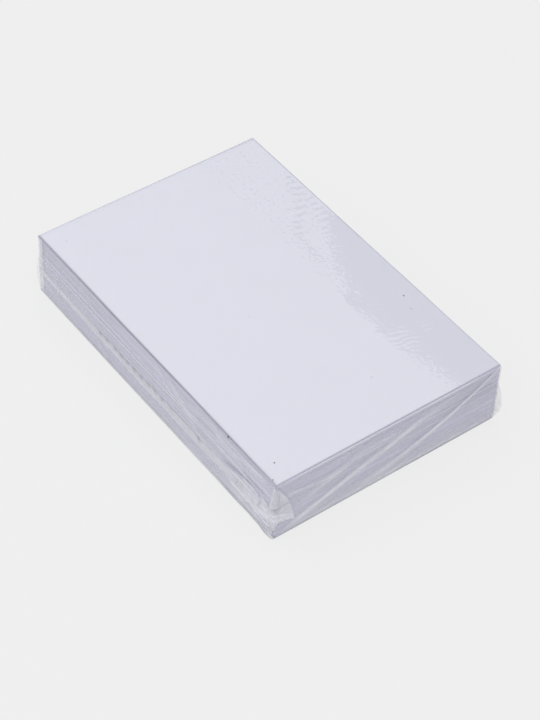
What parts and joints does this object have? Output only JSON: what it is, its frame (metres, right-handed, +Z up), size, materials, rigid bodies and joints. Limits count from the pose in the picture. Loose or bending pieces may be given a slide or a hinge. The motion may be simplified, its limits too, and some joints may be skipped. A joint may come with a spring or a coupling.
{
  "type": "shrink-wrapped stack of photo paper",
  "caption": "Block of postcard-size glossy photo paper, sealed in clear shrink film with a seam round the sides and small film ears at the corners.",
  "frame": {"origin": "centre of the pack's box, on the face that it rests on", "axes": "+Z up through the sheets; +Y along the sheets' long side, away from the film's folded side; +X along their short side"},
  "size_m": [0.1026, 0.1576, 0.0286],
  "materials": {
    "clear_film": "clear glossy shrink film, whitish where it is creased or doubled",
    "photo_paper": "cool white resin-coated paper, glossy face, fine cut edges"
  },
  "bodies": {
    "root": {"film_wrap": "clear_film", "sheet_stack": "photo_paper"}
  },
  "joints": []
}
